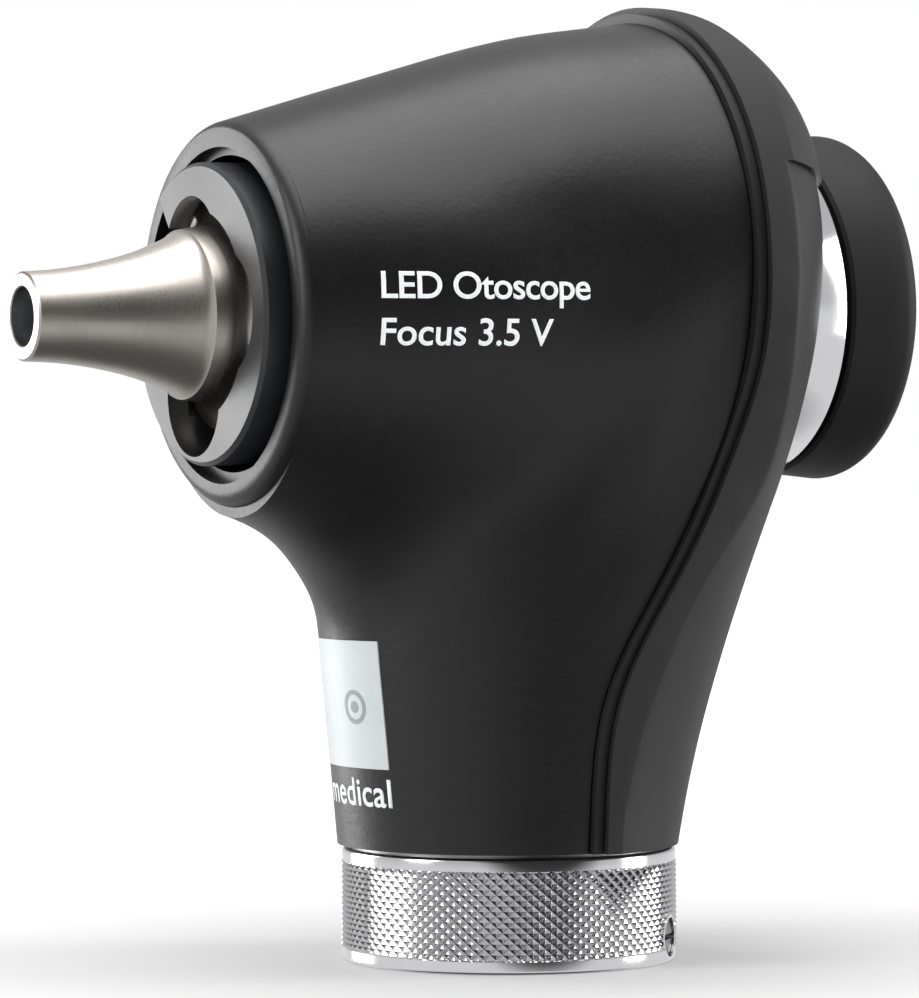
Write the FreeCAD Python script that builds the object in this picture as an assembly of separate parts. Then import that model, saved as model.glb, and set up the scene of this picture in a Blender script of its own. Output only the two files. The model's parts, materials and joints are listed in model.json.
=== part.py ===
"""Otoscope head: instrument head with a steel nose, focus wheel and handle socket.

Frame: +Z up, the nose points to -Y, the eyepiece to +Y, millimetres.
Origin: centre of the handle socket mouth, in the plane of the collar's lower face.
The optical parts are drawn in a local frame whose +Z runs forward along the optical
axis ("s" below is the distance forward of the neck axis) and are then placed.
"""

import FreeCAD, Part

import math
import os

V = FreeCAD.Vector

# ---- optical axis -------------------------------------------------------------
AXIS_Z = 50.1            # height of the optical axis above the socket mouth
AXIS_TILT = 1.3          # the nose dips by this many degrees

# ---- collar and handle socket -------------------------------------------------
COLLAR_R = 13.0          # over the knurl
COLLAR_BAND_R = 12.9     # plain bands above and below the knurl
COLLAR_H = 8.7
COLLAR_BAND_H = 1.1
SOCKET_R = 9.5
SOCKET_LEN = 9.0         # length of the bore that takes the handle
UPPER_R = 8.3            # well above the shoulder, around the lamp's contact
UPPER_Z = 14.0
LINER_R = 10.7
FLANGE_R = 12.2
CLAMP_R = 11.45           # ring that clamps both housings to the liner
SHELL_Z = 9.0            # lower edge of both housings
SET_SCREW_Z = 1.9
SET_SCREW_R = 1.4
SET_SCREW_ANGLE = 45.0
LUG_SLOT_W = 2.2
LUG_SLOT_DEPTH = 0.8
LUG_SLOT_ANGLES = (0.0, 120.0, 240.0)

# ---- housings -----------------------------------------------------------------
WALL = 1.8
LIP_R = 14.3             # outside of the barrel at its front lip
LIP_S = 24.8
BORE_R = 11.90           # mouth of the barrel
SEAM_Y = 10.0            # rear edge of the front housing along the barrel
BARREL = (               # y, height of centre, radius
    (-24.9, 49.55, 14.30),
    (-12.6, 51.40, 16.20),
    (-1.2, 52.80, 18.15),
    (10.0, 53.10, 19.80),
    (30.0, 53.30, 21.50),
)
NECK_R = 13.4            # neck at the collar
NECK_SIDE_TAPER = 0.125
NECK_FRONT = 13.3
NECK_BACK_TAPER = 0.62
NECK_TOP = 52.0
SEAM = (                 # y of the seam, height
    (-0.60, -6.0),
    (-0.62, 2.0),
    (-0.65, 10.0),
    (-0.65, 15.0),
    (-0.10, 20.0),
    (1.75, 25.0),
    (4.45, 30.0),
    (6.85, 35.0),
    (8.60, 40.0),
    (9.60, 45.0),
    (9.95, 50.0),
    (10.0, 56.0),
    (10.0, 68.0),
    (10.0, 90.0),
)
RIM_PROUD = 1.1          # rear housing stands proud of the front one
GASKET_T = 0.85
GASKET_PROUD = 0.55
BACK = (                 # height, furthest point back, radius in plan, extra of the hood
    (4.0, 11.7, 14.8, 0.0),
    (10.0, 13.0, 15.1, 0.0),
    (16.0, 14.3, 15.7, 0.0),
    (22.0, 16.0, 16.7, 0.0),
    (28.0, 17.9, 18.4, 0.0),
    (34.0, 19.8, 21.4, 0.0),
    (40.0, 21.6, 24.6, 0.0),
    (46.0, 23.1, 26.1, 0.0),
    (52.0, 24.0, 26.2, 0.1),
    (57.0, 24.2, 25.0, 0.4),
    (61.0, 23.7, 23.2, 0.7),
    (65.0, 22.2, 20.6, 1.1),
    (68.5, 19.8, 18.0, 1.3),
    (71.0, 17.0, 15.6, 1.4),
    (73.0, 13.6, 13.6, 1.2),
    (74.6, 9.8, 12.4, 0.8),
    (76.2, 5.0, 11.6, 0.5),
)
FAN_PIVOT_Y = -24.9      # sections of the front housing fan out from this line
REAR_BORE_R = 13.4
HOOD_EDGE_Z = 58.5       # the hood's lower edge at the middle
HOOD_EDGE_RISE = 0.13    # and its rise towards the sides

# ---- nose ---------------------------------------------------------------------
NOSE_TIP_S = 40.7
NOSE_TIP_R = 3.31
NOSE_BORE_R = 2.2
NOSE_STEM_R = 7.0
SEAT_R = 11.35
SEAT_S = 26.4
SEAT_BACK_S = 18.5
SEAT_LIP_T = 1.65        # cusps of the seat that hold the speculum
SCALLOPS = (             # reach, radius, angle
    (4.6, 4.6, 0.0),
    (4.5, 4.5, 102.0),
    (4.6, 4.6, 180.0),
    (6.3, 4.5, 258.0),
)
SEAT_GAP = (126.0, 205.0)  # the seat is open between these angles
SCREW_CIRCLE_R = 9.4
FRAME_BACK_S = 15.0

PORT_R = 1.9             # spigot for a squeeze-bulb tube

# ---- viewing optics -----------------------------------------------------------
TUBE_R = 6.0
TUBE_BORE = 5.2
TUBE_FRONT_S = 5.2
TUBE_BACK_S = -15.0
CELL_CLEARANCE = 0.03
CELL_S = -4.0
CELL_LEN = 8.0
FOCUS_TRAVEL = 1.5       # each way, for FOCUS_ANGLE each way
FOCUS_ANGLE = 60.0
FOCUS_PIN_R = 0.6
WHEEL_SLEEVE_R = 7.6
WHEEL_R = 13.1
WHEEL_BACK_S = -23.0
WHEEL_CLEARANCE = 0.05
BEZEL_R = 9.9
BEZEL_BACK_S = -28.95
EYE_BORE = 8.4
BROW_FRONT_S = -23.4
BROW_BACK_S = -29.55
BROW_FRONT_R = 13.2
BROW_BACK_R = 13.75

# ---- lamp ---------------------------------------------------------------------
LAMP_R = 4.6
LAMP_TOP_Z = 30.0
LAMP_FLANGE_R = 5.5
PIN_R = 1.0
SPRING_COILS = 6
SPRING_WIRE = 0.17


# ---- general helpers ------------------------------------------------------------
def on_axis(shape):
    """Places a shape drawn in the local optical frame (+Z forward)."""
    turn = FreeCAD.Rotation(V(1, 0, 0), 90.0 + AXIS_TILT)
    placed = shape.copy()
    placed.Placement = FreeCAD.Placement(V(0, 0, AXIS_Z), turn).multiply(placed.Placement)
    return placed


def revolved(profile):
    """Turns a closed list of (r, z) points about the local Z axis."""
    points = [V(r, 0, z) for r, z in profile]
    wire = Part.makePolygon(points + [points[0]])
    return Part.Face(wire).revolve(V(0, 0, 0), V(0, 0, 1), 360)


def tube(r_out, r_in, z0, z1):
    """A plain tube between two heights."""
    outer = Part.makeCylinder(r_out, z1 - z0, V(0, 0, z0))
    return outer.cut(Part.makeCylinder(r_in, z1 - z0 + 2, V(0, 0, z0 - 1)))


def around(shape, angle):
    """A copy of a shape turned about the local Z axis."""
    turned = shape.copy()
    turned.rotate(V(0, 0, 0), V(0, 0, 1), angle)
    return turned


def interpolated(value, table):
    """Linear look-up in a table whose rows start with the key."""
    row = 0
    while row < len(table) - 2 and value > table[row + 1][0]:
        row += 1
    low, high = table[row], table[row + 1]
    part = (value - low[0]) / (high[0] - low[0])
    return [a + (b - a) * part for a, b in zip(low[1:], high[1:])]


def soft_min(a, b, reach):
    """The smaller of two distances, rounded where they are closer than the reach."""
    near = max(reach - abs(a - b), 0.0) / reach
    return min(a, b) - near * near * reach * 0.25


def smooth_curve(points, closed):
    """Interpolated curve with even parameters, so curves of a family share knots."""
    curve = Part.BSplineCurve()
    count = len(points)
    if closed:
        steps = [float(i) for i in range(count + 1)]
    else:
        steps = [float(i) for i in range(count)]
    curve.interpolate(Points=points, PeriodicFlag=closed, Parameters=steps)
    return curve


def skinned(sections):
    """A solid skinned over closed rings of points, with flat ends."""
    rings = [smooth_curve(points, True) for points in sections]
    rows = []
    for i in range(rings[0].NbPoles):
        rows.append(smooth_curve([ring.getPole(i + 1) for ring in rings], False))
    poles = [[row.getPole(i + 1) for row in rows] for i in range(rows[0].NbPoles)]
    side = Part.BSplineSurface()
    side.buildFromPolesMultsKnots(
        poles,
        rows[0].getMultiplicities(),
        rings[0].getMultiplicities(),
        rows[0].getKnots(),
        rings[0].getKnots(),
        False,
        True,
        rows[0].Degree,
        rings[0].Degree,
    )
    ends = [Part.Face(Part.Wire([ring.toShape()])) for ring in (rings[0], rings[-1])]
    shell = Part.makeShell([side.toShape()] + ends)
    shell.sewShape()
    solid = Part.makeSolid(shell)
    if solid.Volume < 0:
        solid.reverse()
    return solid


# ---- housing form ---------------------------------------------------------------
def barrel_distance(x, y, z):
    """Distance outside the conical barrel."""
    centre, radius = interpolated(y, BARREL)
    return math.hypot(x, z - centre) - radius


def neck_distance(x, y, z):
    """Distance outside the oval neck, which stops inside the barrel."""
    rise = z - SHELL_Z
    side = NECK_R + NECK_SIDE_TAPER * rise
    front = NECK_FRONT + 0.105 * min(max(rise, 0.0), 22.0)
    back = NECK_R + 0.5 + NECK_BACK_TAPER * min(rise, 26.0)
    middle = (back - front) / 2
    depth = (back + front) / 2
    wall = (math.hypot(x / side, (y - middle) / depth) - 1) * min(side, depth)
    return -soft_min(-wall, NECK_TOP - z, 10.0)


def form_distance(x, y, z):
    """Distance outside the blended barrel and neck."""
    reach = 4.0 + 7.5 * min(max(-y / 16.0, 0.0), 1.0)
    return soft_min(barrel_distance(x, y, z), neck_distance(x, y, z), reach)


def crossing(function, limit):
    """The distance along a ray at which a function turns positive."""
    near, far = 0.0, limit
    for _ in range(40):
        middle = (near + far) / 2
        if function(middle) < 0:
            near = middle
        else:
            far = middle
    return near


def fan_section(angle, level, count=48):
    """One section of the form, in a plane hinged on the fan pivot line."""
    cos_a, sin_a = math.cos(angle), math.sin(angle)

    def value(x, reach):
        y, z = FAN_PIVOT_Y + reach * cos_a, SHELL_Z + reach * sin_a
        return -soft_min(level - form_distance(x, y, z), 26.0 - y, 6.0)

    start = 5.0
    while value(0.0, start) > 0:
        start += 0.25
    end = start
    while value(0.0, end + 0.25) < 0:
        end += 0.25
    middle = (start + end) / 2
    points = []
    for i in range(count):
        turn = 2 * math.pi * i / count
        along, across = math.cos(turn), math.sin(turn)
        hit = crossing(lambda t: value(t * across, middle + t * along), 60.0)
        reach = middle + hit * along
        points.append(V(hit * across, FAN_PIVOT_Y + reach * cos_a, SHELL_Z + reach * sin_a))
    return points


def housing_form(level):
    """The blended form from the lip down to the neck, grown by a level."""
    return skinned([fan_section(math.radians(90.0 - 7.5 * i), level) for i in range(13)])


def seam_slab(front, back):
    """Everything between the seam moved back by two distances, across the width."""
    edges = []
    for shift in (front, back):
        points = [V(-40, y + shift, z) for y, z in SEAM]
        edges.append(points)
    face = Part.Face(
        Part.Wire(
            [
                smooth_curve(edges[0], False).toShape(),
                Part.makeLine(edges[0][-1], edges[1][-1]),
                smooth_curve(edges[1], False).toShape(),
                Part.makeLine(edges[1][0], edges[0][0]),
            ]
        )
    )
    return face.extrude(V(80, 0, 0))


def seam_prism(level, count=72):
    """The teardrop outline of the seam grown by a level and run front to back."""
    seam_rows = [(z, y) for y, z in SEAM]

    def value(x, z):
        y = interpolated(z, seam_rows)[0]
        return -soft_min(level - form_distance(x, y, z), z - 1.0, 4.0)

    points = []
    for i in range(count):
        turn = 2 * math.pi * i / count
        along, across = math.cos(turn), math.sin(turn)
        hit = crossing(lambda t: value(t * across, 46.0 + t * along), 60.0)
        points.append(V(hit * across, -30.0, 46.0 + hit * along))
    outline = Part.Face(Part.Wire([smooth_curve(points, True).toShape()]))
    return outline.extrude(V(0, 70, 0))


def back_mould(inset, hooded=False):
    """Everything in front of the curved back, moved in by an inset."""
    grid = []
    for height, furthest, radius, hood in BACK:
        if hooded:
            furthest += hood
        row = []
        for i in range(25):
            x = -24.0 + 2.0 * i
            reach = min(abs(x), 0.975 * radius)
            sag = radius - math.sqrt(radius * radius - reach * reach)
            sag += (abs(x) - reach) * 3.5
            row.append(V(x, furthest - sag - inset, height))
        grid.append(row)
    surface = Part.BSplineSurface()
    surface.interpolate(grid)
    return surface.toShape().extrude(V(0, -60, 0))


def above_shell_edge():
    """The space above the lower edge of the housings."""
    return Part.makeBox(100, 120, 90, V(-50, -60, SHELL_Z))


# ---- housings -------------------------------------------------------------------
def make_front_housing(outer, inner):
    ahead = seam_slab(-60, 0.0)
    body = outer.common(ahead)
    boss = on_axis(Part.makeCylinder(14.2, 9.0, V(0, 0, 14.8))).common(outer)
    body = body.cut(inner).fuse(boss)
    body = body.cut(on_axis(Part.makeCylinder(BORE_R, 40, V(0, 0, 0.0))))
    ahead_of_lip = Part.makeCylinder(30, 16, V(0, 0, LIP_S - 1.0))
    body = body.cut(on_axis(ahead_of_lip.cut(revolved(lip_profile()))))
    start, direction = port_axis()
    body = body.cut(Part.makeCylinder(2.4, 14, start, direction))
    return body.removeSplitter()


def lip_profile():
    """Turned outline of the rounded front lip, closed on the axis."""
    points = [(0.0, LIP_S - 2.0), (LIP_R + 2.0, LIP_S - 2.0)]
    rounding = 1.35
    top = LIP_R + 0.28
    for i in range(9):
        turn = math.radians(90.0 * i / 8)
        reach = top - rounding + rounding * math.cos(turn)
        points.append((reach, LIP_S - rounding + rounding * math.sin(turn)))
    points.append((BORE_R + 0.3, LIP_S))
    points.append((BORE_R, LIP_S - 0.3))
    points.append((0.0, LIP_S - 0.3))
    return points


def make_rear_housing():
    behind = seam_slab(GASKET_T + 0.15, 60)
    outside = seam_prism(RIM_PROUD).common(back_mould(0.0).fuse(hood_mould()))
    body = outside.common(behind).common(above_shell_edge())
    body = rounded_back(body)
    inside = seam_prism(-WALL + 0.3).common(back_mould(WALL + 0.4))
    body = body.cut(inside)
    body = body.cut(on_axis(Part.makeCylinder(REAR_BORE_R, 22, V(0, 0, -33))))
    body = body.cut(on_axis(Part.makeCylinder(BROW_BACK_R + 0.35, 12, V(0, 0, BROW_FRONT_S - 11.6))))
    body = body.cut(Part.makeCylinder(CLAMP_R + 0.05, 5, V(0, 0, SHELL_Z - 0.5)))
    return body.removeSplitter()


def rounded_back(body):
    """Rounds the long edge where the side band meets the back."""
    edges = []
    for edge in body.Edges:
        box = edge.BoundBox
        if box.ZLength > 20 and box.YMax > 11.5 and box.XLength > 5:
            edges.append(edge)
    for radius in (0.6, 0.4, 0.25):
        try:
            smoother = body.makeFillet(radius, edges)
        except Part.OCCError:
            continue
        if smoother.isValid() and len(smoother.Solids) == 1:
            return smoother
    return body


def hood_mould():
    """The fuller back above the hood's edge, which rises to both sides."""
    side = 40.0
    rim = HOOD_EDGE_Z + HOOD_EDGE_RISE * side
    outline = [V(-side, 5, 90), V(-side, 5, rim), V(0, 5, HOOD_EDGE_Z), V(side, 5, rim), V(side, 5, 90)]
    above = Part.Face(Part.makePolygon(outline + [outline[0]])).extrude(V(0, side, 0))
    return back_mould(0.0, hooded=True).common(above)


def make_seam_gasket():
    strip = seam_slab(0.12, 0.12 + GASKET_T - 0.05).common(above_shell_edge())
    strip = strip.common(seam_prism(GASKET_PROUD))
    return strip.cut(seam_prism(-WALL + 0.3))


def port_axis():
    """Start point and direction of the insufflation port on the -X side."""
    return V(-11.0, -6.0, 50.5), V(-1, 0, 0)


def make_insufflation_port():
    start, direction = port_axis()
    steps = [(1.0, 0.0), (2.35, 0.0), (2.35, 7.0), (PORT_R, 7.0)]
    steps += [(PORT_R, 12.2), (PORT_R - 0.2, 12.4), (1.0, 12.4)]
    body = revolved(steps)
    turn = FreeCAD.Rotation(V(0, 0, 1), direction)
    body.Placement = FreeCAD.Placement(start, turn)
    return body


def make_front_label(outer):
    window = Part.makeBox(9.8, 20, 9.7, V(-4.9, -30, 15.25))
    return housing_form(0.07).common(window).cut(outer)


# ---- nose -----------------------------------------------------------------------
def make_nose_cone():
    stations = ((NOSE_TIP_R, NOSE_TIP_S - 0.15), (3.36, 39.4), (3.50, 37.6), (3.78, 35.6), (4.22, 33.4),
                (4.82, 31.2), (5.42, 29.6), (5.95, 28.4), (6.12, 28.1))
    flare = [V(r, 0, z) for r, z in stations]
    curve = Part.BSplineCurve()
    curve.interpolate(flare)
    corners = [(6.12, 28.1), (6.35, 27.9), (6.5, 27.0), (6.65, 26.1), (6.95, 25.3), (7.6, 24.7),
               (8.4, 24.3), (9.05, 24.1), (9.05, 23.3), (NOSE_STEM_R, 23.3), (NOSE_STEM_R, 12.2), (6.8, 12.0),
               (6.5, 12.0), (6.5, 23.0), (2.78, 37.0), (2.78, 38.9), (NOSE_BORE_R, 38.9),
               (NOSE_BORE_R, NOSE_TIP_S - 0.1), (NOSE_BORE_R + 0.1, NOSE_TIP_S),
               (NOSE_TIP_R - 0.18, NOSE_TIP_S), (NOSE_TIP_R, NOSE_TIP_S - 0.15)]
    points = [V(r, 0, z) for r, z in corners]
    wire = Part.Wire([curve.toShape()] + Part.makePolygon(points).Edges)
    body = Part.Face(wire).revolve(V(0, 0, 0), V(0, 0, 1), 360)
    groove = tube(NOSE_STEM_R + 0.5, NOSE_STEM_R - 0.35, 16.2, 17.2)
    return on_axis(body.cut(groove))


def make_seat_ring():
    under = SEAT_S - SEAT_LIP_T
    blank = revolved([(8.0, SEAT_BACK_S), (SEAT_R, SEAT_BACK_S), (SEAT_R, SEAT_S - 0.3),
                      (SEAT_R - 0.3, SEAT_S), (7.8, SEAT_S), (7.8, under), (9.4, under),
                      (9.4, 21.0), (8.0, 21.0)])
    cutters = []
    for reach, radius, angle in SCALLOPS:
        scallop = Part.makeCylinder(radius, 8, V(reach, 0, 21.2))
        cutters.append(around(scallop, angle))
    gap = Part.makeCylinder(SEAT_R + 1, 6, V(0, 0, 23.0), V(0, 0, 1), SEAT_GAP[1] - SEAT_GAP[0])
    cutters.append(around(gap, SEAT_GAP[0]))
    body = blank.cut(cutters[0].fuse(cutters[1:]))
    boss = Part.makeCylinder(1.5, 1.9, V(SCREW_CIRCLE_R, 0, 21.0))
    posts = [around(boss, 45 + 90 * i) for i in range(4)]
    limit = tube(SEAT_R - 0.05, 7.9, 20.8, 22.9)
    body = body.fuse([post.common(limit) for post in posts])
    for x, y in frame_screw_centres():
        body = body.cut(Part.makeCylinder(0.62, 4.3, V(x, y, SEAT_BACK_S - 0.1)))
    return on_axis(body.removeSplitter())


def frame_screw_centres():
    """Places of the four screws around the local axis."""
    angles = [math.radians(45 + 90 * i) for i in range(4)]
    return [(SCREW_CIRCLE_R * math.cos(a), SCREW_CIRCLE_R * math.sin(a)) for a in angles]


def make_front_frame():
    body = tube(BORE_R, NOSE_STEM_R, FRAME_BACK_S, SEAT_BACK_S)
    for x, y in frame_screw_centres():
        body = body.cut(Part.makeCylinder(0.7, 6, V(x, y, FRAME_BACK_S - 1)))
        body = body.cut(Part.makeCylinder(1.25, 2.0, V(x, y, FRAME_BACK_S - 1)))
    return on_axis(body)


def make_frame_screws():
    screws = []
    for x, y in frame_screw_centres():
        head = Part.makeCylinder(1.2, 0.9, V(x, y, FRAME_BACK_S + 0.1))
        shank = Part.makeCylinder(0.6, 6.4, V(x, y, FRAME_BACK_S + 0.9))
        drive = Part.makeBox(1.6, 0.3, 0.4, V(x - 0.8, y - 0.15, FRAME_BACK_S + 0.05))
        screws.append(on_axis(head.fuse(shank).cut(drive)))
    return Part.makeCompound(screws)


def make_nose_nut():
    body = tube(9.0, NOSE_STEM_R, 12.6, FRAME_BACK_S)
    for i in range(4):
        slot = Part.makeBox(3, 1.4, 1.2, V(7.6, -0.7, 12.0))
        body = body.cut(around(slot, 90 * i))
    return on_axis(body)


def make_nose_o_ring():
    ring = Part.makeTorus(NOSE_STEM_R - 0.02, 0.32, V(0, 0, 16.7))
    return on_axis(ring.common(tube(NOSE_STEM_R, NOSE_STEM_R - 0.4, 16, 17.5)))


def make_fibre_ring():
    profile = [(4.2, 12.4), (6.4, 12.4), (6.4, 22.9), (2.72, 36.9), (2.72, 38.8),
               (2.25, 38.8), (2.25, 36.6), (4.2, 22.4)]
    return on_axis(revolved(profile))


def make_light_guide():
    mouth = on_axis(Part.Vertex(0, -5.3, 12.3)).Point
    approach = on_axis(Part.Vertex(0, -5.35, 9.6)).Point
    points = [V(0, -0.6, LAMP_TOP_Z + 5.9), V(0, -1.6, 39.2), V(0, -5.0, 42.7), approach, mouth]
    curve = Part.BSplineCurve()
    ahead = (mouth - approach).normalize()
    curve.interpolate(Points=points, InitialTangent=V(0, -0.12, 1), FinalTangent=ahead)
    path = Part.Wire([curve.toShape()])
    section = Part.Wire([Part.makeCircle(1.05, points[0], V(0, -0.12, 1))])
    return path.makePipeShell([section], True, False)


def make_nose_window():
    return on_axis(Part.makeCylinder(4.15, 1.0, V(0, 0, 14.0)))


# ---- viewing tube and focus -------------------------------------------------------
def make_optics_tube():
    body = tube(TUBE_R, TUBE_BORE, TUBE_BACK_S, TUBE_FRONT_S)
    for angle in (90.0, 270.0):
        low, high = CELL_S - FOCUS_TRAVEL, CELL_S + FOCUS_TRAVEL
        gap = FOCUS_PIN_R + 0.06
        slot = Part.makeBox(3, 2 * gap, high - low, V(4.8, -gap, low))
        slot = slot.fuse([Part.makeCylinder(gap, 3, V(4.8, 0, end), V(1, 0, 0)) for end in (low, high)])
        body = body.cut(around(slot, angle))
    return on_axis(body)


def make_front_window():
    return on_axis(Part.makeCylinder(TUBE_BORE, 1.0, V(0, 0, TUBE_FRONT_S - 1.6)))


def make_field_stop():
    profile = [(3.1, -13.4), (TUBE_BORE, -13.4), (TUBE_BORE, -12.2), (3.3, -12.2), (3.1, -12.6)]
    return on_axis(revolved(profile))


def make_focus_cell():
    outer = TUBE_BORE - CELL_CLEARANCE
    low = CELL_S - CELL_LEN / 2
    profile = [(3.7, low), (outer, low), (outer, low + CELL_LEN), (4.4, low + CELL_LEN),
               (4.4, low + 4.9), (3.7, low + 4.9)]
    body = revolved(profile)
    for angle in (90.0, 270.0):
        body = body.cut(around(Part.makeCylinder(FOCUS_PIN_R, 4, V(3, 0, CELL_S), V(1, 0, 0)), angle))
    return on_axis(body)


def lens_face(radius, middle, bulge):
    """Half section of one face of a lens, from the axis out."""
    points = []
    for i in range(9):
        r = radius * i / 8
        points.append(V(r, 0, middle + bulge * (1 - (r / radius) ** 2)))
    curve = Part.BSplineCurve()
    slope = V(1, 0, -2 * bulge / radius)
    curve.interpolate(Points=points, InitialTangent=V(1, 0, 0), FinalTangent=slope)
    return curve


def lens(radius, middle, edge_half, bulge_front, bulge_back):
    """A lens given by its edge thickness and the bulge of each face."""
    front = lens_face(radius, middle + edge_half, bulge_front)
    back = lens_face(radius, middle - edge_half, -bulge_back)
    edge = Part.makeLine(front.EndPoint, back.EndPoint)
    axis = Part.makeLine(back.StartPoint, front.StartPoint)
    face = Part.Face(Part.Wire([front.toShape(), edge, back.toShape(), axis]))
    return face.revolve(V(0, 0, 0), V(0, 0, 1), 360)


def make_focus_lens():
    middle = CELL_S - CELL_LEN / 2 + 4.9 + 0.75
    return on_axis(lens(4.4, middle, 0.75, 0.7, 0.0))


def make_focus_pins():
    pins = []
    for angle in (90.0, 270.0):
        pin = Part.makeCylinder(FOCUS_PIN_R, 2.8, V(4.3, 0, CELL_S), V(1, 0, 0))
        pins.append(on_axis(around(pin, angle)))
    return Part.makeCompound(pins)


def helical_window(start_angle):
    """Window in the wheel sleeve that drives a focus pin along the tube."""
    steps = 26
    bites = []
    for i in range(steps + 1):
        turn = -FOCUS_ANGLE + 2 * FOCUS_ANGLE * i / steps
        height = CELL_S - FOCUS_TRAVEL * turn / FOCUS_ANGLE
        bite = Part.makeCylinder(FOCUS_PIN_R + 0.22, 3, V(5.6, 0, height), V(1, 0, 0))
        bites.append(around(bite, start_angle + turn))
    return bites[0].fuse(bites[1:])


def make_focus_wheel():
    bore = TUBE_R + WHEEL_CLEARANCE
    back = WHEEL_BACK_S
    rim = revolved([(10.2, back), (WHEEL_R - 0.3, back), (WHEEL_R - 0.1, back + 0.1), (WHEEL_R, back + 0.3),
                    (WHEEL_R, -17.2), (WHEEL_R - 0.25, -17.0), (WHEEL_R - 0.25, -16.6), (WHEEL_R, -16.4),
                    (WHEEL_R, -11.3), (WHEEL_R - 0.3, -11.0), (bore, -11.0), (bore, -12.5), (10.2, -12.5)])
    sleeve = tube(WHEEL_SLEEVE_R, bore, -11.5, 2.8)
    body = rim.fuse(sleeve).removeSplitter()
    for angle in (90.0, 270.0):
        body = body.cut(helical_window(angle))
    return on_axis(body)


def make_wave_washer():
    return on_axis(tube(7.4, TUBE_R + 0.02, 2.9, 3.15))


def make_eyepiece_tube():
    profile = [(TUBE_R, -13.0), (BEZEL_R, -13.0), (BEZEL_R, BEZEL_BACK_S + 0.4),
               (BEZEL_R - 0.4, BEZEL_BACK_S), (EYE_BORE, BEZEL_BACK_S), (EYE_BORE, -22.6),
               (7.4, -22.6), (7.4, -15.0), (TUBE_R, -15.0)]
    return on_axis(revolved(profile))


def make_eyepiece_lens():
    return on_axis(lens(EYE_BORE, -24.4, 1.3, 1.3, 1.5))


def make_lens_retaining_ring():
    body = revolved([(7.3, -26.15), (EYE_BORE, -25.75), (EYE_BORE, -27.5), (7.9, -27.5)])
    for angle in (0, 180):
        slot = Part.makeBox(2.5, 1.0, 0.8, V(6.9, -0.5, -27.9))
        body = body.cut(around(slot, angle))
    return on_axis(body)


def make_lens_seal():
    return on_axis(Part.makeTorus(8.05, 0.18, V(0, 0, -22.78)))


def make_brow_guard():
    points = [(BEZEL_R + 0.03, BROW_FRONT_S), (BROW_FRONT_R - 0.25, BROW_FRONT_S),
              (BROW_FRONT_R, BROW_FRONT_S - 0.25)]
    rounding = 1.5
    for i in range(9):
        turn = math.radians(90.0 * i / 8)
        points.append((BROW_BACK_R - rounding + rounding * math.cos(turn),
                       BROW_BACK_S + rounding - rounding * math.sin(turn)))
    points += [(9.7, BROW_BACK_S), (8.9, BROW_BACK_S + 0.2), (8.8, BEZEL_BACK_S - 0.1),
               (BEZEL_R + 0.03, BEZEL_BACK_S - 0.1)]
    return on_axis(revolved(points))


def make_chassis():
    ring = on_axis(tube(9.2, TUBE_R, 3.3, 5.0))
    legs = []
    for side in (1, -1):
        x = 6.9 if side > 0 else -8.7
        legs.append(Part.makeBox(1.8, 4.6, 27.5, V(x, -6.4, 17.0)))
        legs.append(Part.makeBox(1.8, 1.72, 3.2, V(x, -5.1, 44.3)))
    body = ring.fuse(legs).removeSplitter()
    body = body.cut(on_axis(Part.makeCylinder(TUBE_R, 8, V(0, 0, 1.5))))
    body = body.cut(Part.makeBox(3.2, 8, 6, V(-1.6, -8, 39.6)))
    for side in (1, -1):
        body = body.cut(Part.makeCylinder(0.6, 4, V(7.8 * side, -4.1, 16.9)))
    return body


def make_chassis_screws():
    screws = []
    for side in (1, -1):
        x = 7.8 * side
        head = Part.makeCylinder(1.15, 0.9, V(x, -4.1, 14.05))
        shank = Part.makeCylinder(0.6, 5.4, V(x, -4.1, 14.9))
        drive = Part.makeBox(1.6, 0.3, 0.5, V(x - 0.8, -4.25, 13.95))
        screws.append(head.fuse(shank).cut(drive))
    return Part.makeCompound(screws)


# ---- collar, socket and lamp --------------------------------------------------------
def make_base_collar():
    profile = [(LINER_R, 0.0), (COLLAR_BAND_R - 0.25, 0.0), (COLLAR_BAND_R, 0.25),
               (COLLAR_BAND_R, COLLAR_BAND_H),
               (COLLAR_R, COLLAR_BAND_H + 0.1), (COLLAR_R, COLLAR_H - COLLAR_BAND_H - 0.1),
               (COLLAR_BAND_R, COLLAR_H - COLLAR_BAND_H), (COLLAR_BAND_R, COLLAR_H - 0.25),
               (COLLAR_BAND_R - 0.25, COLLAR_H), (LINER_R, COLLAR_H)]
    body = revolved(profile)
    hole = Part.makeCylinder(SET_SCREW_R + 0.04, 6, V(9.5, 0, SET_SCREW_Z), V(1, 0, 0))
    return body.cut(around(hole, SET_SCREW_ANGLE))


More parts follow.
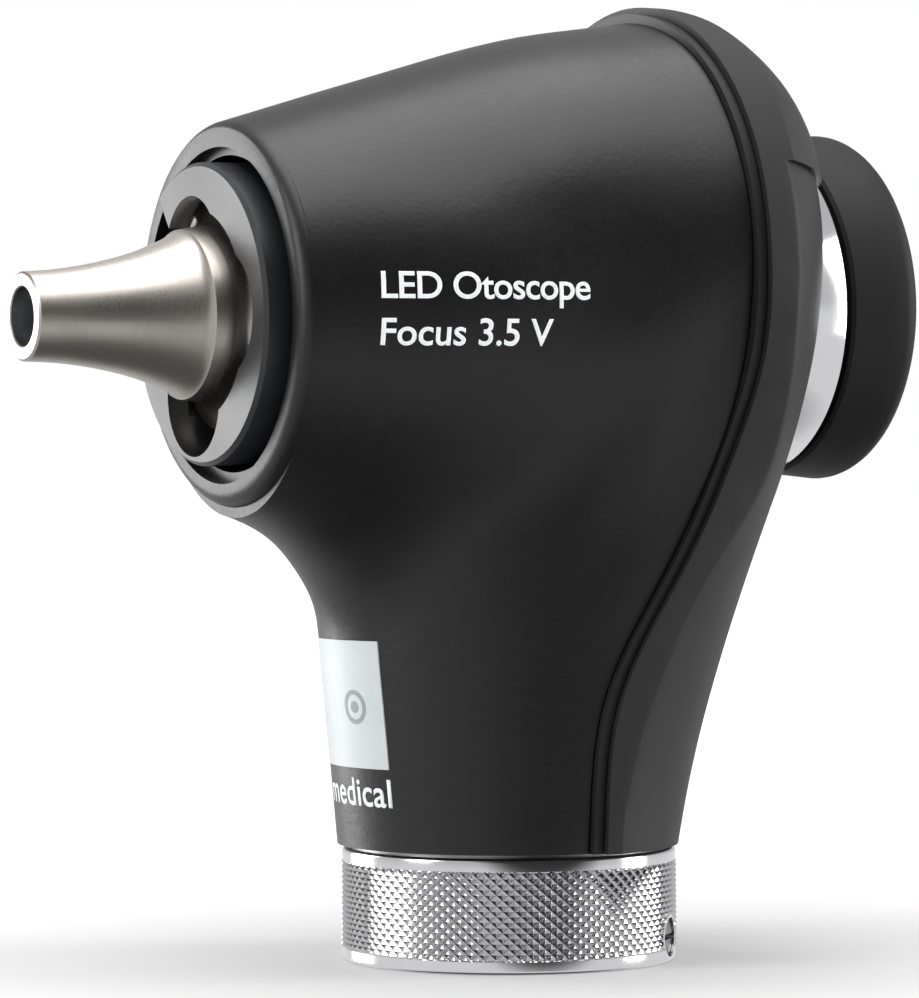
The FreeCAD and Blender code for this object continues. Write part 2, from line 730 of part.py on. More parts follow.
def make_socket_liner():
    profile = [(SOCKET_R, 0.0), (LINER_R, 0.0), (LINER_R, COLLAR_H), (FLANGE_R, COLLAR_H),
               (FLANGE_R, SHELL_Z - 0.05),
               (LINER_R, SHELL_Z - 0.05), (LINER_R, 17.0), (LAMP_R + 0.06, 17.0), (LAMP_R + 0.06, UPPER_Z),
               (UPPER_R, UPPER_Z), (UPPER_R, SOCKET_LEN), (SOCKET_R, SOCKET_LEN)]
    body = revolved(profile)
    for angle in LUG_SLOT_ANGLES:
        entry = Part.makeBox(2.0, LUG_SLOT_W, 6.6, V(SOCKET_R - 1.2, -LUG_SLOT_W / 2, -1.0))
        body = body.cut(around(entry, angle))
        sweep = tube(SOCKET_R + LUG_SLOT_DEPTH, SOCKET_R - 1, 3.4, 5.6)
        wedge = Part.makeCylinder(14, 2.4, V(0, 0, 3.3), V(0, 0, 1), 20)
        body = body.cut(around(sweep.common(wedge), angle))
    hole = Part.makeCylinder(SET_SCREW_R + 0.04, 6, V(8.5, 0, SET_SCREW_Z), V(1, 0, 0))
    body = body.cut(around(hole, SET_SCREW_ANGLE))
    for side in (1, -1):
        body = body.cut(Part.makeCylinder(0.62, 5, V(7.8 * side, -4.1, 13.5)))
        body = body.cut(Part.makeCylinder(1.2, 1.0, V(7.8 * side, -4.1, 14.0)))
    return body


def make_set_screw():
    body = Part.makeCylinder(SET_SCREW_R, 2.75, V(9.9, 0, SET_SCREW_Z), V(1, 0, 0))
    point = Part.makeCone(0.7, SET_SCREW_R, 0.5, V(9.6, 0, SET_SCREW_Z), V(1, 0, 0))
    slot = Part.makeBox(0.7, 3.2, 0.4, V(12.05, -1.6, SET_SCREW_Z - 0.2))
    return around(body.fuse(point).removeSplitter().cut(slot), SET_SCREW_ANGLE)


def make_clamp_ring():
    return tube(CLAMP_R, LINER_R, SHELL_Z + 0.1, 13.2)


def make_insulator_disc():
    return tube(UPPER_R - 0.02, LAMP_R + 0.15, 12.7, UPPER_Z)


def make_lamp_holder():
    body = tube(6.3, LAMP_R + 0.05, 17.0, 31.0)
    for z in (20.0, 22.2, 24.4, 26.6, 28.8):
        body = body.cut(tube(7.0, 5.6, z, z + 1.0))
    return body


def make_lamp_body():
    profile = [(PIN_R + 0.05, 11.6), (LAMP_FLANGE_R, 11.6), (LAMP_FLANGE_R, 12.6),
               (LAMP_R, 12.6), (LAMP_R, LAMP_TOP_Z),
               (3.6, LAMP_TOP_Z), (3.6, LAMP_TOP_Z - 2.0), (0.0, LAMP_TOP_Z - 2.0), (0.0, 20.0),
               (1.6, 20.0), (1.6, 12.5), (PIN_R + 0.05, 12.5)]
    return revolved(profile)


def make_lamp_emitter():
    return Part.makeBox(2.4, 2.4, 0.8, V(-1.2, -1.2, LAMP_TOP_Z - 2.0))


def make_lamp_lens():
    dome = Part.makeSphere(3.55, V(0, 0, LAMP_TOP_Z + 0.6))
    dome = dome.common(Part.makeBox(10, 10, 6, V(-5, -5, LAMP_TOP_Z)))
    skirt = Part.makeCylinder(3.58, 0.6, V(0, 0, LAMP_TOP_Z - 0.5))
    hollow = Part.makeCylinder(2.4, 1.6, V(0, 0, LAMP_TOP_Z - 0.6))
    return dome.fuse(skirt).removeSplitter().cut(hollow)


def make_contact_pin():
    profile = [(0.0, 9.2), (0.7, 9.2), (PIN_R, 9.5), (PIN_R, 12.55)]
    profile += [(1.52, 12.55), (1.52, 13.3), (0.0, 13.3)]
    return revolved(profile)


def make_contact_spring():
    low, high = 13.5, 19.85
    helix = Part.makeLongHelix((high - low - 0.35) / SPRING_COILS, high - low - 0.35, 1.15)
    section = Part.Wire([Part.makeCircle(SPRING_WIRE, V(1.15, 0, 0), V(0, 1, 0))])
    spring = Part.Wire(helix).makePipeShell([section], True, True)
    spring.translate(V(0, 0, low + 0.17))
    return spring


def make_all():
    """Every node of the head, by name."""
    outer = housing_form(0.0)
    inner = housing_form(-WALL)
    return {
        "front_housing": make_front_housing(outer, inner),
        "rear_housing": make_rear_housing(),
        "seam_gasket": make_seam_gasket(),
        "front_label": make_front_label(outer),
        "insufflation_port": make_insufflation_port(),
        "nose_cone": make_nose_cone(),
        "speculum_seat_ring": make_seat_ring(),
        "front_frame": make_front_frame(),
        "frame_screws": make_frame_screws(),
        "nose_nut": make_nose_nut(),
        "nose_o_ring": make_nose_o_ring(),
        "nose_window": make_nose_window(),
        "fibre_ring": make_fibre_ring(),
        "light_guide": make_light_guide(),
        "optics_tube": make_optics_tube(),
        "front_window": make_front_window(),
        "field_stop": make_field_stop(),
        "focus_cell": make_focus_cell(),
        "focus_lens": make_focus_lens(),
        "focus_pins": make_focus_pins(),
        "focus_wheel": make_focus_wheel(),
        "wave_washer": make_wave_washer(),
        "eyepiece_tube": make_eyepiece_tube(),
        "eyepiece_lens": make_eyepiece_lens(),
        "lens_retaining_ring": make_lens_retaining_ring(),
        "lens_seal": make_lens_seal(),
        "brow_guard": make_brow_guard(),
        "chassis": make_chassis(),
        "chassis_screws": make_chassis_screws(),
        "base_collar": make_base_collar(),
        "socket_liner": make_socket_liner(),
        "lock_set_screw": make_set_screw(),
        "clamp_ring": make_clamp_ring(),
        "insulator_disc": make_insulator_disc(),
        "lamp_holder": make_lamp_holder(),
        "lamp_body": make_lamp_body(),
        "lamp_emitter": make_lamp_emitter(),
        "lamp_lens": make_lamp_lens(),
        "contact_pin": make_contact_pin(),
        "contact_spring": make_contact_spring(),
    }


def main():
    os.makedirs("parts", exist_ok=True)
    for name, shape in make_all().items():
        shape.exportStep("parts/" + name + ".step")
        print(name, shape.isValid(), len(shape.Solids), round(shape.Volume, 1))


main()
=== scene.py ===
"""Looks of an otoscope head: finishes, knurled collar, printing, studio and camera.

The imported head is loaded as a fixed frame. Visible turned and moulded pieces get a
welded, smooth-shaded copy, the collar gets its real knurl, and the printing on the
barrel and the plate on the neck are laid on the housing. Lengths are in metres.
"""

import json
import logging
import math
from dataclasses import dataclass, field
from enum import Enum

import bmesh
import bpy
from mathutils import Matrix, Vector
from mathutils.bvhtree import BVHTree

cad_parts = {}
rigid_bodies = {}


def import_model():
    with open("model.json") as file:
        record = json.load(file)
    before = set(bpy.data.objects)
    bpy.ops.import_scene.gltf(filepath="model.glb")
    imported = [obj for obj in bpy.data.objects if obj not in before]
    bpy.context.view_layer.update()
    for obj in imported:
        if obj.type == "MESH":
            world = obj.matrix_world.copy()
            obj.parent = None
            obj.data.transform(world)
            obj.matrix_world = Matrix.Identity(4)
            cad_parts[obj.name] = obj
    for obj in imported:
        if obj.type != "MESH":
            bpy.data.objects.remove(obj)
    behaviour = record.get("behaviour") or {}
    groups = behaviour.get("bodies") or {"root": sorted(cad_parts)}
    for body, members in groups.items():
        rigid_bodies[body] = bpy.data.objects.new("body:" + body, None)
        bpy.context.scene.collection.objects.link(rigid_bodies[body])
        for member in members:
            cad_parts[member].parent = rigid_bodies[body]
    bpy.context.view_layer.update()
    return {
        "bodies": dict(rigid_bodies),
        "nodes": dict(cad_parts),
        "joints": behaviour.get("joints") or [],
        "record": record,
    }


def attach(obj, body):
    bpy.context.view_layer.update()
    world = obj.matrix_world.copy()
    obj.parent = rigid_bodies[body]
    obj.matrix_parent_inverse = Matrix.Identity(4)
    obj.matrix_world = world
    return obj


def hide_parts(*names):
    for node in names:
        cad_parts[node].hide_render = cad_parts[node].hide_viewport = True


LOG = logging.getLogger("otoscope")

MM = 0.001
AXIS_HEIGHT = 50.1 * MM  # the barrel's axis above the socket's mouth
WELD = 0.5e-6  # vertices nearer than this are one
INK_LIFT = 0.004 * MM  # keeps printing off the surface it is laid on
CLOUD_PER_METRE = 140.0  # the slow unevenness of every finish, about 7 mm


class Pattern(Enum):
    """How a surface was made, which decides the detail it is given."""

    LEATHERY_MOULDING = "leathery moulding"
    SOFT_TOUCH = "soft-touch paint"
    RUBBER = "moulded rubber"
    TURNED = "turned on a lathe"
    PLATED = "plated and polished"
    ANODISED = "bead-blasted and anodised"
    PRINTED = "pad printed"
    CLEAR = "polished glass"
    FIBRES = "polished fibre ends"
    PLAIN = "machined"


@dataclass(frozen=True)
class Finish:
    """One real surface finish.

    Attributes:
        name: The material's name, for what it is and how it was made.
        slot: The record's material slot it dresses.
        pattern: How the surface was made.
        hex_colour: Main colour, sRGB.
        hex_second: Second colour of the variation, sRGB.
        metallic: 1 for a bare or plated metal.
        roughness: Middle of the roughness range.
        spread: How far the roughness wanders each way.
        grain_mm: Real size of the pattern.
        relief_mm: Height of the pattern.
        ior: Index of refraction for what is not metal.
        streak: How far turning marks draw the reflections out along the axis.
    """

    name: str
    slot: str
    pattern: Pattern
    hex_colour: str
    hex_second: str
    metallic: float = 0.0
    roughness: float = 0.5
    spread: float = 0.05
    grain_mm: float = 0.4
    relief_mm: float = 0.01
    ior: float = 1.5
    streak: float = 0.0


class Finishes:
    """Every finish on the head."""

    # moulded ABS under a satin lacquer: near black, with the faint leathery grain of the tool
    shell = Finish("black_abs_leathery_satin", "shell_black", Pattern.LEATHERY_MOULDING,
                   "#0d0d0e", "#111112",
                   roughness=0.35, spread=0.05, grain_mm=0.42, relief_mm=0.008, ior=1.46)
    # the over-moulded bumper: softer and duller than the shell
    bumper = Finish("black_tpe_overmould", "bumper_black", Pattern.SOFT_TOUCH, "#131314", "#18181a",
                    roughness=0.56, spread=0.05, grain_mm=0.16, relief_mm=0.004, ior=1.48)
    # compression-moulded silicone: matt and almost without highlights
    guard = Finish("black_silicone_moulded", "rubber_black", Pattern.RUBBER, "#0c0c0c", "#101011",
                   roughness=0.6, spread=0.06, grain_mm=0.2, relief_mm=0.004, ior=1.43)
    # moulded nitrile: a dark, faintly greasy line in the seam
    seal = Finish("black_nitrile_seal", "seal_rubber", Pattern.RUBBER, "#0f0f10", "#151516",
                  roughness=0.5, spread=0.05, grain_mm=0.15, relief_mm=0.003, ior=1.5)
    # screen-printed polycarbonate film: flat, cool white with an even satin
    plate = Finish("white_printed_plate", "label_white", Pattern.PRINTED, "#c3c8cb", "#cbd0d2",
                   roughness=0.42, spread=0.03, grain_mm=0.3, relief_mm=0.001, ior=1.5)
    # stainless steel turned on a lathe: warm grey, its reflections drawn out along the axis by
    # turning marks of a few hundredths, shown here coarser than they are
    nose = Finish("stainless_steel_turned", "nose_steel", Pattern.TURNED, "#c9c3bc", "#b5afa8",
                  metallic=1.0, roughness=0.27, spread=0.04, grain_mm=0.25, relief_mm=0.0006, streak=0.8)
    # injection-moulded nylon: dark grey with a soft sheen on its flat face
    seat = Finish("grey_black_nylon_moulded", "seat_black", Pattern.SOFT_TOUCH, "#1c1d1f", "#222326",
                  roughness=0.38, spread=0.05, grain_mm=0.14, relief_mm=0.002, ior=1.52)
    # aluminium bead-blasted and black anodised: dull, slightly metallic black
    anodised = Finish("aluminium_black_anodised", "anodised_black", Pattern.ANODISED, "#141415", "#1a1a1b",
                      metallic=0.6, roughness=0.5, spread=0.05, grain_mm=0.1, relief_mm=0.002)
    # bare milled aluminium: pale grey with a blurred shine
    aluminium = Finish("aluminium_machined", "aluminium_plain", Pattern.PLAIN, "#c7c8ca", "#bdbec0",
                       metallic=1.0, roughness=0.35, spread=0.05, grain_mm=0.2, relief_mm=0.001)
    # bored steel: mid grey with fine rings
    liner = Finish("steel_machined_liner", "liner_steel", Pattern.TURNED, "#a9a8a6", "#9b9a98",
                   metallic=1.0, roughness=0.34, spread=0.06, grain_mm=0.12, relief_mm=0.001)
    # knurled brass under bright chrome: mirror flanks that glitter light and dark
    collar = Finish("brass_chromed_knurled", "collar_chrome", Pattern.PLATED, "#e4e4e6", "#dcdcde",
                    metallic=1.0, roughness=0.13, spread=0.04, grain_mm=0.5, relief_mm=0.0008)
    # polished brass under bright chrome: a clear mirror with hardly any blur
    wheel = Finish("brass_chromed_bright", "wheel_chrome", Pattern.PLATED, "#e6e6e8", "#dedee0",
                   metallic=1.0, roughness=0.10, spread=0.03, grain_mm=0.6, relief_mm=0.0006)
    # zinc-plated steel: darker grey, uneven shine
    screw = Finish("steel_zinc_plated", "screw_steel", Pattern.PLAIN, "#8f8f90", "#7e7e80",
                   metallic=1.0, roughness=0.35, spread=0.06, grain_mm=0.2, relief_mm=0.001)
    # turned stainless steel: satin grey
    spigot = Finish("stainless_spigot_turned", "port_steel", Pattern.TURNED, "#bfbbb6", "#aeaaa5",
                    metallic=1.0, roughness=0.3, spread=0.06, grain_mm=0.1, relief_mm=0.001)
    # polished optical glass: clear with a faint blue cast from its coating
    glass = Finish("optical_glass_coated", "optical_glass", Pattern.CLEAR, "#f4fbff", "#eaf6ff",
                   roughness=0.02, spread=0.0, ior=1.52)
    # ground and polished fibre ends: pale dots in dark cement
    fibre = Finish("glass_fibre_ends", "fibre_bundle", Pattern.FIBRES, "#2a2b2e", "#9fb0b8",
                   roughness=0.3, spread=0.05, grain_mm=0.12, relief_mm=0.002, ior=1.6)
    # extruded PVC: smooth black
    sheath = Finish("black_pvc_sheath", "guide_sheath", Pattern.RUBBER, "#1c1c1e", "#222224",
                    roughness=0.4, grain_mm=0.2, relief_mm=0.002)
    # pressed phenolic: red-brown and slightly mottled
    insulator = Finish("red_brown_phenolic", "insulator_plastic", Pattern.SOFT_TOUCH, "#6b2a1c", "#5e2417",
                       roughness=0.5, grain_mm=0.2, relief_mm=0.003, ior=1.58)
    # brass with a thin nickel wash: pale straw
    lamp = Finish("brass_nickel_washed", "lamp_brass", Pattern.PLAIN, "#cbbd94", "#bdae86",
                  metallic=1.0, roughness=0.3, grain_mm=0.2, relief_mm=0.001)
    # gold-flashed brass: warm yellow and bright
    contact = Finish("brass_gold_flashed", "contact_brass", Pattern.PLAIN, "#e0b85e", "#d3aa52",
                     metallic=1.0, roughness=0.22, grain_mm=0.2, relief_mm=0.001)
    # drawn spring wire: grey with a soft shine
    spring = Finish("spring_steel_wire", "spring_steel", Pattern.PLAIN, "#9a9a9c", "#8a8a8c",
                    metallic=1.0, roughness=0.3, grain_mm=0.2, relief_mm=0.001)
    # silicone filled with phosphor: flat lemon yellow
    phosphor = Finish("led_phosphor", "emitter_phosphor", Pattern.SOFT_TOUCH, "#e9d65a", "#e2cd4c",
                      roughness=0.5, grain_mm=0.1, relief_mm=0.002)

    @classmethod
    def all(cls) -> list[Finish]:
        """Every finish, in the order written."""
        return [value for value in vars(cls).values() if isinstance(value, Finish)]


def linear(hex_colour: str) -> tuple[float, float, float, float]:
    """Turns an sRGB hex colour to linear.

    Args:
        hex_colour: Such as "#1b1b1d".

    Returns:
        Linear red, green, blue and an alpha of 1.
    """
    parts = [int(hex_colour[i:i + 2], 16) / 255 for i in (1, 3, 5)]
    made = [c / 12.92 if c <= 0.04045 else ((c + 0.055) / 1.055) ** 2.4 for c in parts]
    return (made[0], made[1], made[2], 1.0)


@dataclass
class FinishShop:
    """Makes each finish once and hands it out by slot or name."""

    made: dict[str, bpy.types.Material] = field(default_factory=dict)

    def node(self, tree: bpy.types.NodeTree, kind: str, settings: dict, links: dict) -> bpy.types.Node:
        """Adds one node.

        Args:
            tree: The material's node tree.
            kind: The node's type.
            settings: Values for the node's sockets (by name) or its own properties.
            links: Socket name to the output socket that feeds it.

        Returns:
            The new node.
        """
        made = tree.nodes.new(kind)
        for name, value in settings.items():
            if name in made.inputs:
                made.inputs[name].default_value = value
            else:
                setattr(made, name, value)
        for name, source in links.items():
            tree.links.new(source, made.inputs[name])
        return made

    def relief(self, tree: bpy.types.NodeTree, finish: Finish,
               place: bpy.types.NodeSocket) -> bpy.types.NodeSocket:
        """The height pattern of a finish.

        Args:
            tree: The material's node tree.
            finish: The finish.
            place: Where on the piece, in metres.

        Returns:
            A socket from 0 to 1.
        """
        per_metre = 1.0 / (finish.grain_mm * MM)
        if finish.pattern is Pattern.LEATHERY_MOULDING:
            cells = self.node(tree, "ShaderNodeTexVoronoi",
                              {"feature": "SMOOTH_F1", "Scale": per_metre,
                               "Smoothness": 0.7, "Randomness": 1.0},
                              {"Vector": place})
            fine = self.node(tree, "ShaderNodeTexNoise",
                             {"Scale": per_metre * 1.9, "Detail": 3.0, "Roughness": 0.6}, {"Vector": place})
            both = self.node(tree, "ShaderNodeMath", {"operation": "ADD"}, {})
            tree.links.new(cells.outputs["Distance"], both.inputs[0])
            tree.links.new(fine.outputs["Fac"], both.inputs[1])
            return both.outputs[0]
        if finish.pattern is Pattern.TURNED:
            lay = self.node(tree, "ShaderNodeMapping",
                            {"Location": (0.0, 0.0, -AXIS_HEIGHT), "Scale": (0.012, 1.0, 0.012)},
                            {"Vector": place})
            lines = self.node(tree, "ShaderNodeTexNoise",
                              {"Scale": per_metre, "Detail": 4.0, "Roughness": 0.75},
                              {"Vector": lay.outputs["Vector"]})
            return lines.outputs["Fac"]
        if finish.pattern is Pattern.FIBRES:
            ends = self.node(tree, "ShaderNodeTexVoronoi",
                             {"Scale": per_metre, "Randomness": 0.6}, {"Vector": place})
            return ends.outputs["Distance"]
        grain = self.node(tree, "ShaderNodeTexNoise", {"Scale": per_metre, "Detail": 3.0, "Roughness": 0.6},
                          {"Vector": place})
        return grain.outputs["Fac"]

    def make(self, finish: Finish) -> bpy.types.Material:
        """Builds one finish as a node material.

        Args:
            finish: What to build.

        Returns:
            The material.
        """
        material = bpy.data.materials.new(finish.name)
        material.use_nodes = True
        tree = material.node_tree
        tree.nodes.clear()
        out = self.node(tree, "ShaderNodeOutputMaterial", {}, {})
        settings = {"Metallic": finish.metallic}
        if finish.metallic == 0.0:
            settings["IOR"] = finish.ior
        if finish.pattern is Pattern.CLEAR:
            settings.update({"Transmission Weight": 0.92, "Roughness": finish.roughness,
                             "Base Color": linear(finish.hex_colour)})
            shader = self.node(tree, "ShaderNodeBsdfPrincipled", settings, {})
            tree.links.new(shader.outputs["BSDF"], out.inputs["Surface"])
            return material
        where = self.node(tree, "ShaderNodeTexCoord", {}, {}).outputs["Object"]
        height = self.relief(tree, finish, where)
        cloud = self.node(tree, "ShaderNodeTexNoise",
                          {"Scale": CLOUD_PER_METRE, "Detail": 4.0, "Roughness": 0.6}, {"Vector": where})
        mixed = self.node(tree, "ShaderNodeMath", {"operation": "MULTIPLY_ADD"}, {})
        tree.links.new(height, mixed.inputs[0])
        mixed.inputs[1].default_value = 0.45
        tree.links.new(cloud.outputs["Fac"], mixed.inputs[2])
        tint = self.node(tree, "ShaderNodeValToRGB", {}, {"Fac": mixed.outputs[0]})
        tint.color_ramp.elements[0].position = 0.35
        tint.color_ramp.elements[0].color = linear(finish.hex_colour)
        tint.color_ramp.elements[1].position = 0.95
        tint.color_ramp.elements[1].color = linear(finish.hex_second)
        sheen = self.node(tree, "ShaderNodeMapRange", {"From Min": 0.3, "From Max": 1.0,
                          "To Min": max(finish.roughness - finish.spread, 0.02),
                          "To Max": finish.roughness + finish.spread}, {"Value": mixed.outputs[0]})
        bump = self.node(tree, "ShaderNodeBump",
                         {"Strength": 1.0, "Distance": finish.relief_mm * MM}, {"Height": height})
        shader = self.node(tree, "ShaderNodeBsdfPrincipled", settings,
                           {"Base Color": tint.outputs["Color"], "Roughness": sheen.outputs["Result"],
                            "Normal": bump.outputs["Normal"]})
        if finish.streak > 0:
            shader.inputs["Anisotropic"].default_value = finish.streak
            round_axis = self.node(tree, "ShaderNodeTangent", {"direction_type": "RADIAL", "axis": "Y"}, {})
            tree.links.new(round_axis.outputs["Tangent"], shader.inputs["Tangent"])
        tree.links.new(shader.outputs["BSDF"], out.inputs["Surface"])
        return material

    def get(self, finish: Finish) -> bpy.types.Material:
        """The material of a finish, made on first use."""
        if finish.name not in self.made:
            self.made[finish.name] = self.make(finish)
        return self.made[finish.name]

    def for_slot(self, slot: str) -> bpy.types.Material:
        """The material that dresses a slot of the record."""
        return next(self.get(finish) for finish in Finishes.all() if finish.slot == slot)


def as_piece(name: str, mesh: bpy.types.Mesh, material: bpy.types.Material) -> bpy.types.Object:
    """Puts a mesh in the scene as a piece of the head.

    Args:
        name: The piece's name.
        mesh: Its mesh, in place.
        material: Its finish.

    Returns:
        The object, at the origin.
    """
    mesh.name = name
    mesh.materials.clear()
    mesh.materials.append(material)
    piece = bpy.data.objects.new(name, mesh)
    bpy.context.collection.objects.link(piece)
    return piece


@dataclass
class Head:
    """The loaded frame with what each class needs from it."""

    frame: dict
    shop: FinishShop

    def slot_of(self, node: str) -> str:
        """The record's slot of a node."""
        rows = self.frame["record"]["subparts"]
        return next(row["material_slot"] for row in rows if row["node"] == node)

    def body_of(self, node: str) -> str:
        """The body that a node belongs to."""
        bodies = self.frame["record"]["behaviour"]["bodies"]
        return next(name for name, nodes in bodies.items() if node in nodes)

    def stand_for(self, piece: bpy.types.Object, node: str) -> None:
        """Lets a piece stand for a node: it joins the node's body and the node is hidden.

        Args:
            piece: The piece.
            node: The CAD node that it stands for.
        """
        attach(piece, self.body_of(node))
        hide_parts(node)


@dataclass
class SmoothCopies:
    """Welded, smooth-shaded copies of the moulded and turned pieces that show."""

    head: Head
    crease_deg: float = 32.0
    creases: dict[str, float] = field(default_factory=lambda: {
        "front_housing": 40.0, "rear_housing": 24.0, "focus_wheel": 28.0})
    nodes: tuple[str, ...] = (
        "front_housing", "rear_housing", "seam_gasket", "front_label", "nose_cone", "speculum_seat_ring",
        "front_frame", "focus_wheel", "eyepiece_tube", "brow_guard", "lens_retaining_ring", "eyepiece_lens",
        "insufflation_port", "socket_liner", "insulator_disc", "lamp_body", "contact_pin", "lock_set_screw",
        "fibre_ring", "nose_window")

    def copy(self, node: str) -> bpy.types.Object:
        """Makes the copy of one node.

        Args:
            node: The node to copy.

        Returns:
            The piece that stands for it.
        """
        source = self.head.frame["nodes"][node].data
        work = bmesh.new()
        work.from_mesh(source)
        bmesh.ops.remove_doubles(work, verts=work.verts, dist=WELD)
        crease = math.radians(self.creases.get(node, self.crease_deg))
        for face in work.faces:
            face.smooth = True
        for edge in work.edges:
            edge.smooth = len(edge.link_faces) == 2 and edge.calc_face_angle(0.0) < crease
        mesh = bpy.data.meshes.new(node + "_skin")
        work.to_mesh(mesh)
        work.free()
        piece = as_piece(node + "_skin", mesh, self.head.shop.for_slot(self.head.slot_of(node)))
        self.head.stand_for(piece, node)
        return piece

    def build(self) -> dict[str, bpy.types.Object]:
        """Makes every copy.

        Returns:
            The pieces, by the node each stands for.
        """
        made = {node: self.copy(node) for node in self.nodes}
        for node in made:
            LOG.info("smooth copy of %s", node)
        return made


@dataclass
class KnurledCollar:
    """The chromed collar with its diamond knurl and the set screw's hole."""

    head: Head
    outer_r: float = 13.0 * MM
    band_r: float = 12.9 * MM
    bore_r: float = 10.7 * MM
    height: float = 8.7 * MM
    band_height: float = 1.1 * MM
    edge: float = 0.3 * MM
    diamonds_round: int = 86
    diamond_rows: int = 8
    steps_per_diamond: int = 8
    knurl_depth: float = 0.36 * MM
    hole_r: float = 1.5 * MM
    hole_rim: float = 0.3 * MM
    hole_z: float = 1.9 * MM
    hole_angle: float = math.radians(45.0)

    def profile(self) -> list[tuple[float, float]]:
        """The half section, from the bore's foot round the outside.

        Returns:
            Radius and height of each point in turn.
        """
        rounding = [(self.band_r - self.edge + self.edge * math.sin(a), self.edge - self.edge * math.cos(a))
                    for a in (math.pi / 2 * i / 5 for i in range(6))]
        rows = self.diamond_rows * self.steps_per_diamond
        low, high = self.band_height, self.height - self.band_height
        band = [(self.outer_r, low + (high - low) * i / rows) for i in range(rows + 1)]
        shoulder_low = [(self.band_r, low - 0.12 * MM), (self.band_r - 0.1 * MM, low - 0.02 * MM)]
        shoulder_high = [(self.band_r - 0.1 * MM, high + 0.02 * MM), (self.band_r, high + 0.12 * MM)]
        top = [(r, self.height - z) for r, z in reversed(rounding)]
        outside = [*rounding, *shoulder_low, *band, *shoulder_high, *top]
        return [(self.bore_r, 0.0), *outside, (self.bore_r, self.height)]

    def knurl(self, vert: bmesh.types.BMVert) -> None:
        """Moves a vertex of the knurled band in to the depth of the crossing grooves.

        Args:
            vert: Any vertex of the collar; one off the band stays.
        """
        low, high = self.band_height, self.height - self.band_height
        radius = math.hypot(vert.co.x, vert.co.y)
        if radius < self.outer_r - 1e-6 or not low - 1e-7 <= vert.co.z <= high + 1e-7:
            return
        around = math.atan2(vert.co.y, vert.co.x) / (2 * math.pi) * self.diamonds_round
        along = (vert.co.z - low) / (high - low) * self.diamond_rows
        rise = min(self.off_groove(around + along), self.off_groove(around - along))
        rise = min(rise * 1.12, 1.0)
        beside = vert.co.y * math.cos(self.hole_angle) - vert.co.x * math.sin(self.hole_angle)
        outward = vert.co.x * math.cos(self.hole_angle) + vert.co.y * math.sin(self.hole_angle)
        if outward > 0 and math.hypot(beside, vert.co.z - self.hole_z) < self.hole_r + self.hole_rim:
            rise = 0.7
        scale = (self.outer_r - self.knurl_depth * (1.0 - rise)) / radius
        vert.co.x *= scale
        vert.co.y *= scale

    def off_groove(self, turns: float) -> float:
        """How far up the groove's flank, 0 in the groove and 1 midway."""
        return abs(turns - round(turns)) * 2.0

    def bored(self, collar: bpy.types.Mesh) -> bpy.types.Mesh:
        """Cuts the set screw's hole.

        Args:
            collar: The closed collar.

        Returns:
            The collar with its hole.
        """
        work = bmesh.new()
        turn = Matrix.Rotation(self.hole_angle, 4, "Z") @ Matrix.Translation((12.0 * MM, 0, self.hole_z))
        bmesh.ops.create_cone(work, cap_ends=True, segments=48, radius1=self.hole_r, radius2=self.hole_r,
                              depth=5 * MM, matrix=turn @ Matrix.Rotation(math.pi / 2, 4, "Y"))
        cutter_mesh = bpy.data.meshes.new("set_screw_drill")
        work.to_mesh(cutter_mesh)
        work.free()
        blank = bpy.data.objects.new("collar_blank", collar)
        cutter = bpy.data.objects.new("set_screw_drill", cutter_mesh)
        for item in (blank, cutter):
            bpy.context.collection.objects.link(item)
        cut = blank.modifiers.new("set_screw_hole", "BOOLEAN")
        cut.object, cut.operation, cut.solver = cutter, "DIFFERENCE", "EXACT"
        bpy.context.view_layer.update()
        evaluated = blank.evaluated_get(bpy.context.evaluated_depsgraph_get())
        bored = bpy.data.meshes.new_from_object(evaluated)
        for item in (blank, cutter):
            bpy.data.objects.remove(item)
        return bored

    def build(self) -> bpy.types.Object:
        """Turns the collar, knurls it, drills it and puts it in place of its plain node.

        Returns:
            The finished collar.
        """
        work = bmesh.new()
        verts = [work.verts.new((r, 0, z)) for r, z in self.profile()]
        edges = [work.edges.new(pair) for pair in zip(verts, verts[1:] + verts[:1])]
        bmesh.ops.spin(work, geom=verts + edges, cent=(0, 0, 0), axis=(0, 0, 1), angle=2 * math.pi,
                       steps=self.diamonds_round * self.steps_per_diamond,
                       use_merge=True, use_duplicate=False)
        bmesh.ops.remove_doubles(work, verts=work.verts, dist=1e-7)
        for vert in work.verts:
            self.knurl(vert)
        bmesh.ops.recalc_face_normals(work, faces=work.faces)
        mesh = bpy.data.meshes.new("collar_turned")
        work.to_mesh(mesh)
        work.free()
        mesh = self.bored(mesh)
        work = bmesh.new()
        work.from_mesh(mesh)
        crease = math.radians(26.0)
        for face in work.faces:
            face.smooth = True
        for edge in work.edges:
            edge.smooth = len(edge.link_faces) == 2 and edge.calc_face_angle(0.0) < crease
        work.to_mesh(mesh)
        work.free()
        piece = as_piece("base_collar_knurled", mesh, self.head.shop.get(Finishes.collar))
        self.head.stand_for(piece, "base_collar")
        LOG.info("knurled collar, %d faces", len(mesh.polygons))
        return piece


